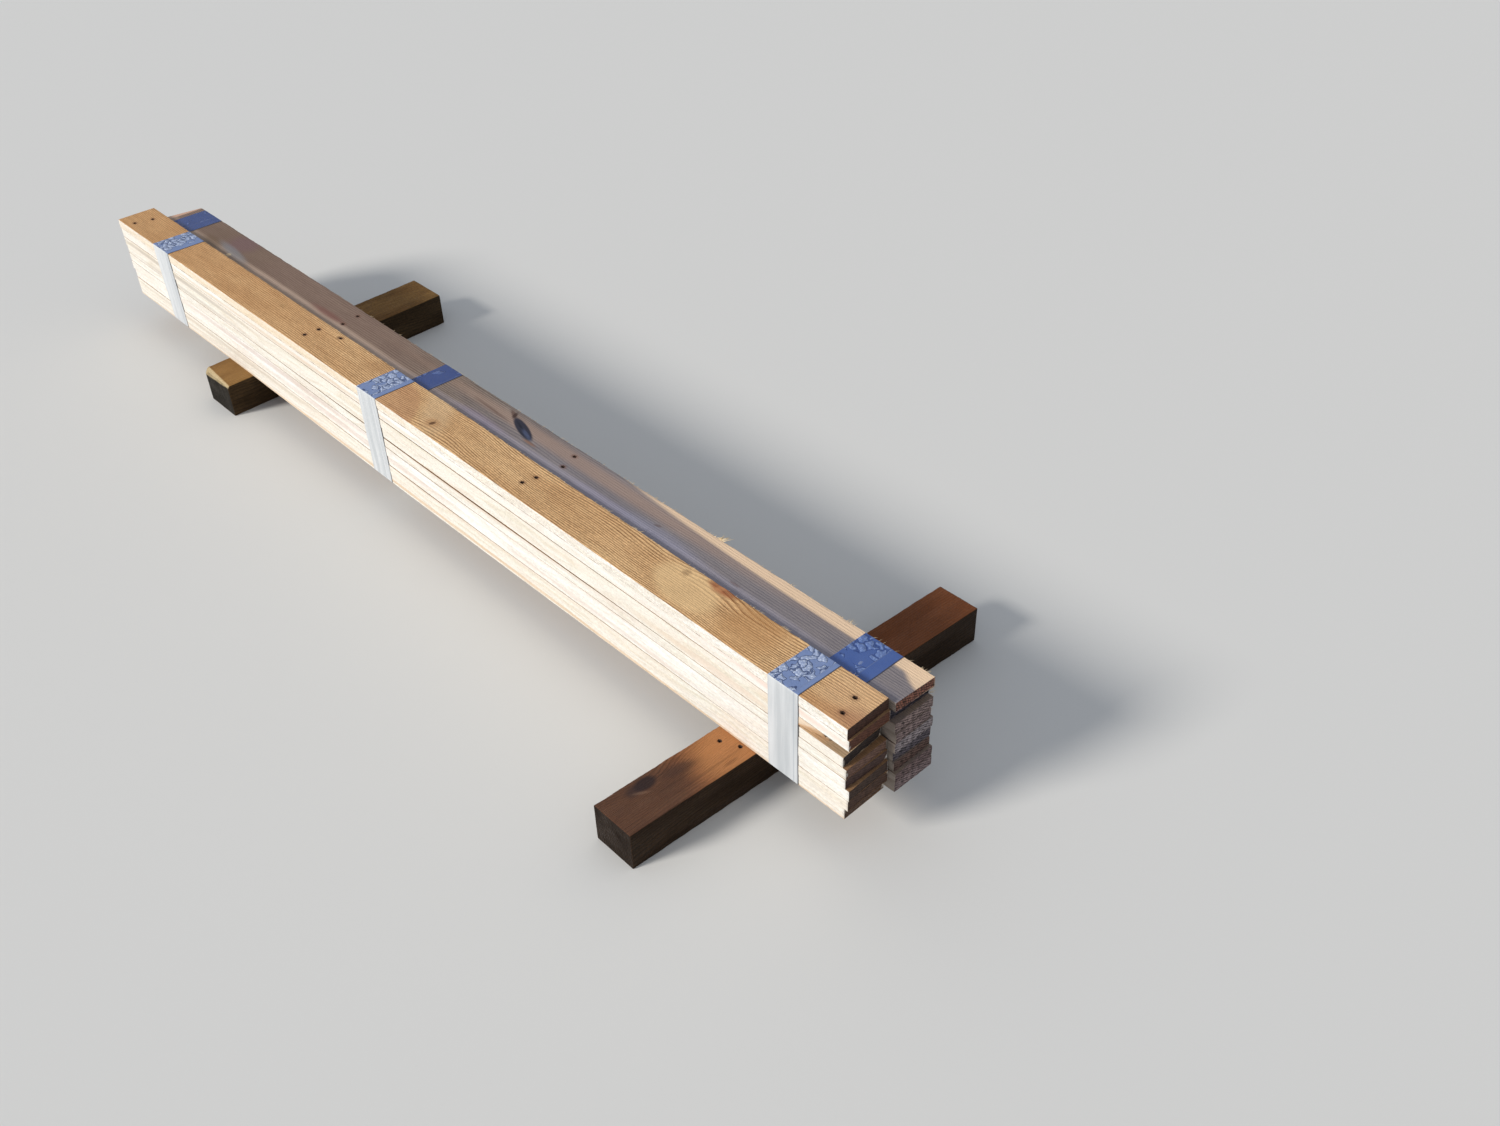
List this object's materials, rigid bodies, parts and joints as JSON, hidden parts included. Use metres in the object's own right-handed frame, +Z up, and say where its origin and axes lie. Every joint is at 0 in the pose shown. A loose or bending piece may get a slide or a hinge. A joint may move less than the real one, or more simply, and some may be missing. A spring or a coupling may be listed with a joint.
{
  "type": "bundle of pine studs",
  "caption": "Rough-sawn pine studs stacked in taped packs, side by side on timber bearers that hold them off the floor.",
  "frame": {"origin": "on the floor, under the middle of the bundle's overall length and of the near bearer's length", "axes": "+X along the studs to their near end, +Y across them to the right, +Z up"},
  "size_m": [2.178, 0.7, 0.241],
  "materials": {
    "left_pine": "rough-sawn pine, dry, tan",
    "right_pine": "rough-sawn pine, weathered to grey-mauve",
    "near_bearer_timber": "damp sawn timber, orange-brown with a dark knot",
    "far_bearer_timber": "sawn timber, tan with pale end grain",
    "duct_tape": "silver-grey cloth tape, creased, with water drops on top"
  },
  "bodies": {
    "root": {"left_stud_1": "left_pine", "left_stud_2": "left_pine", "left_stud_3": "left_pine", "left_stud_4": "left_pine", "left_stud_5": "left_pine", "left_stud_6": "left_pine", "left_stud_7": "left_pine", "left_stud_8": "left_pine", "left_stud_9": "left_pine", "right_stud_1": "right_pine", "right_stud_2": "right_pine", "right_stud_3": "right_pine", "right_stud_4": "right_pine", "right_stud_5": "right_pine", "right_stud_6": "right_pine", "right_stud_7": "right_pine", "right_stud_8": "right_pine", "right_stud_9": "right_pine", "left_tape_far": "duct_tape", "left_tape_middle": "duct_tape", "left_tape_near": "duct_tape", "right_tape_far": "duct_tape", "right_tape_middle": "duct_tape", "right_tape_near": "duct_tape", "near_bearer": "near_bearer_timber", "far_bearer": "far_bearer_timber"}
  },
  "joints": []
}
